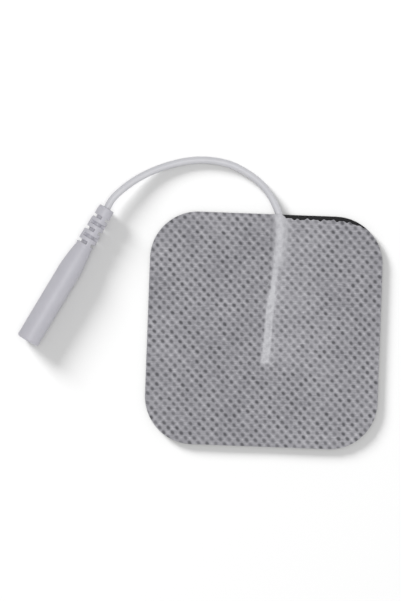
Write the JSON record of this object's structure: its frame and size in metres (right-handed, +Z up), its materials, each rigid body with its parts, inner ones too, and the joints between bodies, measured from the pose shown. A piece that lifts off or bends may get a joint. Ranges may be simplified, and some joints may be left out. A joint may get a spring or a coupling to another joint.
{
  "type": "tens electrode pad",
  "caption": "Square self-adhesive TENS electrode pad: gel, carbon film and grey non-woven backing, with a short lead to a slim socket plug.",
  "frame": {"origin": "centre of the gel's underside, on the surface that the pad lies on", "axes": "+Z up out of the fabric, +Y towards the edge that the lead leaves, +X to the right as seen from above"},
  "size_m": [0.0777, 0.0618, 0.005],
  "materials": {
    "hydrogel": "gloss",
    "carbon_film": "satin",
    "tinned_copper": "satin",
    "grey_nonwoven": "matte",
    "lead_pvc": "satin",
    "plug_pvc": "satin",
    "nickel_plate": "polished"
  },
  "bodies": {
    "root": {"hydrogel": "hydrogel", "carbon_film": "carbon_film", "bare_conductor": "tinned_copper", "fabric_backing": "grey_nonwoven", "lead_wire": "lead_pvc", "plug_body": "plug_pvc", "socket_contact": "nickel_plate", "conductor_tail": "tinned_copper"}
  },
  "joints": []
}
